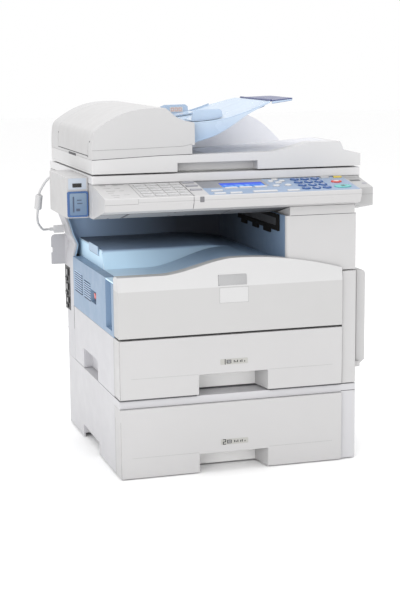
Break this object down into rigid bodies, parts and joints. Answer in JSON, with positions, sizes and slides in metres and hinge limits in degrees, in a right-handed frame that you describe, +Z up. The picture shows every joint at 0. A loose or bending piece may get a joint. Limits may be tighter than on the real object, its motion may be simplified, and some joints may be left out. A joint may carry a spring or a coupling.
{
  "type": "photocopier",
  "caption": "Desktop multifunction photocopier with a document feeder, tilted control panel, blue output tray and pull-out paper drawers.",
  "frame": {"origin": "centre of the footprint on the resting surface, at the bottom of the feet", "axes": "+Z up, -Y is the front with the drawers and the control panel, +X to the right seen from the front"},
  "size_m": [0.5458, 0.462, 0.6388],
  "materials": {
    "white_plastic": "fine matt texture",
    "pale_plastic": "smooth matt",
    "grey_plastic": "matt",
    "dark_plastic": "matt",
    "blue_plastic": "matt",
    "clear_blue_plastic": "translucent, glossy",
    "deep_blue_plastic": "translucent, glossy",
    "panel_blue_grey": "satin",
    "key_blue": "satin",
    "start_teal": "satin",
    "stop_red": "satin",
    "switch_red": "satin",
    "screen": "lit display under clear plastic",
    "rubber": "matt rubber",
    "drum_coating": "smooth gloss",
    "platen_white": "soft white sheet",
    "zinc_steel": "zinc plated sheet",
    "scan_glass": "clear float glass"
  },
  "bodies": {
    "machine": {"feed_unit_housing": "white_plastic", "foot_front_left": "rubber", "foot_rear_left": "rubber", "foot_front_right": "rubber", "foot_rear_right": "rubber", "main_frame": "zinc_steel", "left_cover": "white_plastic", "vent_cover": "blue_plastic", "output_tray": "blue_plastic", "exit_pillar": "white_plastic", "exit_frame": "dark_plastic", "rear_cover": "white_plastic", "scanner_base": "white_plastic", "scanner_top": "white_plastic", "exposure_glass": "scan_glass", "panel_case": "white_plastic", "panel_fascia": "panel_blue_grey", "lcd_screen": "screen", "right_box": "white_plastic", "card_housing": "white_plastic", "usb_cable": "pale_plastic", "ferrite_core": "pale_plastic", "usb_plug": "pale_plastic", "hinge_left": "zinc_steel", "hinge_right": "zinc_steel"},
    "lower_drawer": {"tray2_front": "white_plastic", "tray2_box": "grey_plastic"},
    "lower_lift": {"tray2_lift_plate": "zinc_steel"},
    "lower_feed_roller": {"tray2_feed_roller": "rubber"},
    "upper_drawer": {"tray1_front": "white_plastic", "tray1_box": "grey_plastic"},
    "upper_lift": {"tray1_lift_plate": "zinc_steel"},
    "upper_feed_roller": {"tray1_feed_roller": "rubber"},
    "power_rocker": {"power_switch": "switch_red"},
    "front_door": {"front_cover": "white_plastic"},
    "toner": {"toner_bottle": "grey_plastic"},
    "drum": {"drum_roller": "drum_coating"},
    "fuser": {"fuser_roller": "rubber"},
    "exit_rollers": {"exit_roller": "rubber"},
    "paper_stopper": {"paper_stop": "blue_plastic"},
    "side_door": {"right_door": "white_plastic"},
    "bypass": {"bypass_tray": "white_plastic"},
    "scan_slider": {"scan_carriage": "dark_plastic"},
    "mirror_slider": {"mirror_carriage": "dark_plastic"},
    "number_pad": {"number_keys": "key_blue"},
    "cursor_pad": {"cursor_keys": "pale_plastic"},
    "function_pad": {"function_keys": "pale_plastic"},
    "start": {"start_key": "start_teal"},
    "stop": {"stop_key": "stop_red"},
    "one_touch": {"one_touch_keys": "pale_plastic"},
    "lid": {"adf_base": "white_plastic", "platen_sheet": "platen_white", "feeder_body": "white_plastic"},
    "jam_cover": {"feeder_cover": "white_plastic"},
    "document_tray": {"doc_tray": "clear_blue_plastic"},
    "tray_flap": {"tray_extension": "deep_blue_plastic"},
    "front_guide": {"guide_front": "clear_blue_plastic"},
    "rear_guide": {"guide_rear": "clear_blue_plastic"},
    "feed_roller": {"pickup_roller": "rubber"},
    "card_door": {"card_flap": "clear_blue_plastic"}
  },
  "joints": [
    {"name": "lower_drawer_slide", "type": "slide", "parent": "machine", "child": "lower_drawer", "axis": [0, -1, 0], "range_m": [0, 0.29]},
    {"name": "lower_lift_tilt", "type": "hinge", "parent": "lower_drawer", "child": "lower_lift", "pos_m": [-0.13835, 0.024, 0.018], "axis": [0, -1, 0], "range_deg": [0, 8]},
    {"name": "lower_feed_spin", "type": "hinge", "parent": "machine", "child": "lower_feed_roller", "pos_m": [0.17165, -0.009, 0.089], "axis": [0, 1, 0], "continuous": true},
    {"name": "upper_drawer_slide", "type": "slide", "parent": "machine", "child": "upper_drawer", "axis": [0, -1, 0], "range_m": [0, 0.29]},
    {"name": "upper_lift_tilt", "type": "hinge", "parent": "upper_drawer", "child": "upper_lift", "pos_m": [-0.13835, 0.024, 0.149], "axis": [0, -1, 0], "range_deg": [0, 8]},
    {"name": "upper_feed_spin", "type": "hinge", "parent": "machine", "child": "upper_feed_roller", "pos_m": [0.17165, -0.009, 0.222], "axis": [0, 1, 0], "continuous": true},
    {"name": "power_rock", "type": "hinge", "parent": "machine", "child": "power_rocker", "pos_m": [-0.19435, -0.0325, 0.292], "axis": [0, 1, 0], "range_deg": [-7, 7]},
    {"name": "front_door_hinge", "type": "hinge", "parent": "machine", "child": "front_door", "pos_m": [-0.00035, -0.206, 0.249], "axis": [1, 0, 0], "range_deg": [0, 80]},
    {"name": "toner_spin", "type": "hinge", "parent": "machine", "child": "toner", "pos_m": [-0.08235, -0.009, 0.292], "axis": [0, 1, 0], "continuous": true},
    {"name": "drum_spin", "type": "hinge", "parent": "machine", "child": "drum", "pos_m": [0.11765, -0.009, 0.282], "axis": [0, 1, 0], "continuous": true},
    {"name": "fuser_spin", "type": "hinge", "parent": "machine", "child": "fuser", "pos_m": [0.17565, -0.009, 0.3], "axis": [0, 1, 0], "continuous": true},
    {"name": "exit_spin", "type": "hinge", "parent": "machine", "child": "exit_rollers", "pos_m": [0.11365, -0.059, 0.426], "axis": [0, 1, 0], "continuous": true},
    {"name": "paper_stop_hinge", "type": "hinge", "parent": "machine", "child": "paper_stopper", "pos_m": [-0.18335, 0.0455, 0.374], "axis": [0, 1, 0], "range_deg": [0, 150]},
    {"name": "side_door_hinge", "type": "hinge", "parent": "machine", "child": "side_door", "pos_m": [0.22765, -0.007, 0.144], "axis": [0, 1, 0], "range_deg": [0, 40]},
    {"name": "bypass_hinge", "type": "hinge", "parent": "side_door", "child": "bypass", "pos_m": [0.23965, -0.037, 0.17], "axis": [0, 1, 0], "range_deg": [0, 75]},
    {"name": "scan_travel", "type": "slide", "parent": "machine", "child": "scan_slider", "axis": [1, 0, 0], "range_m": [0, 0.38]},
    {"name": "mirror_travel", "type": "slide", "parent": "machine", "child": "mirror_slider", "axis": [1, 0, 0], "range_m": [0, 0.19]},
    {"name": "number_press", "type": "slide", "parent": "machine", "child": "number_pad", "axis": [0, 0.162, -0.9868], "range_m": [0, 0.001], "stiffness_N_per_m": 2000},
    {"name": "cursor_press", "type": "slide", "parent": "machine", "child": "cursor_pad", "axis": [0, 0.162, -0.9868], "range_m": [0, 0.001], "stiffness_N_per_m": 2000},
    {"name": "function_press", "type": "slide", "parent": "machine", "child": "function_pad", "axis": [0, 0.162, -0.9868], "range_m": [0, 0.001], "stiffness_N_per_m": 2000},
    {"name": "start_press", "type": "slide", "parent": "machine", "child": "start", "axis": [0, 0.162, -0.9868], "range_m": [0, 0.001], "stiffness_N_per_m": 2000},
    {"name": "stop_press", "type": "slide", "parent": "machine", "child": "stop", "axis": [0, 0.162, -0.9868], "range_m": [0, 0.001], "stiffness_N_per_m": 2000},
    {"name": "one_touch_press", "type": "slide", "parent": "machine", "child": "one_touch", "axis": [0, 0.162, -0.9868], "range_m": [0, 0.001], "stiffness_N_per_m": 2000},
    {"name": "lid_hinge", "type": "hinge", "parent": "machine", "child": "lid", "pos_m": [-0.00035, 0.221, 0.524], "axis": [-1, 0, 0], "range_deg": [0, 65]},
    {"name": "jam_cover_hinge", "type": "hinge", "parent": "lid", "child": "jam_cover", "pos_m": [-0.21835, 0.016, 0.572], "axis": [0, -1, 0], "range_deg": [0, 65]},
    {"name": "document_tray_hinge", "type": "hinge", "parent": "lid", "child": "document_tray", "pos_m": [-0.07485, -0.001, 0.5988], "axis": [0, -1, 0], "range_deg": [0, 30]},
    {"name": "tray_flap_hinge", "type": "hinge", "parent": "document_tray", "child": "tray_flap", "pos_m": [0.10245, -0.001, 0.6346], "axis": [0, -1, 0], "range_deg": [0, 165]},
    {"name": "front_guide_slide", "type": "slide", "parent": "document_tray", "child": "front_guide", "axis": [0, 1, 0], "range_m": [0, 0.055]},
    {"name": "rear_guide_slide", "type": "slide", "parent": "document_tray", "child": "rear_guide", "axis": [0, 1, 0], "range_m": [-0.055, 0]},
    {"name": "feed_roller_spin", "type": "hinge", "parent": "lid", "child": "feed_roller", "pos_m": [-0.10235, 0.015, 0.592], "axis": [0, 1, 0], "continuous": true},
    {"name": "card_door_hinge", "type": "hinge", "parent": "machine", "child": "card_door", "pos_m": [-0.26135, -0.111, 0.466], "axis": [0, 0, -1], "range_deg": [0, 100]}
  ],
  "couplings": [
    {"joint": "mirror_travel", "follows": "scan_travel", "ratio": 0.5},
    {"joint": "rear_guide_slide", "follows": "front_guide_slide", "ratio": -1}
  ]
}
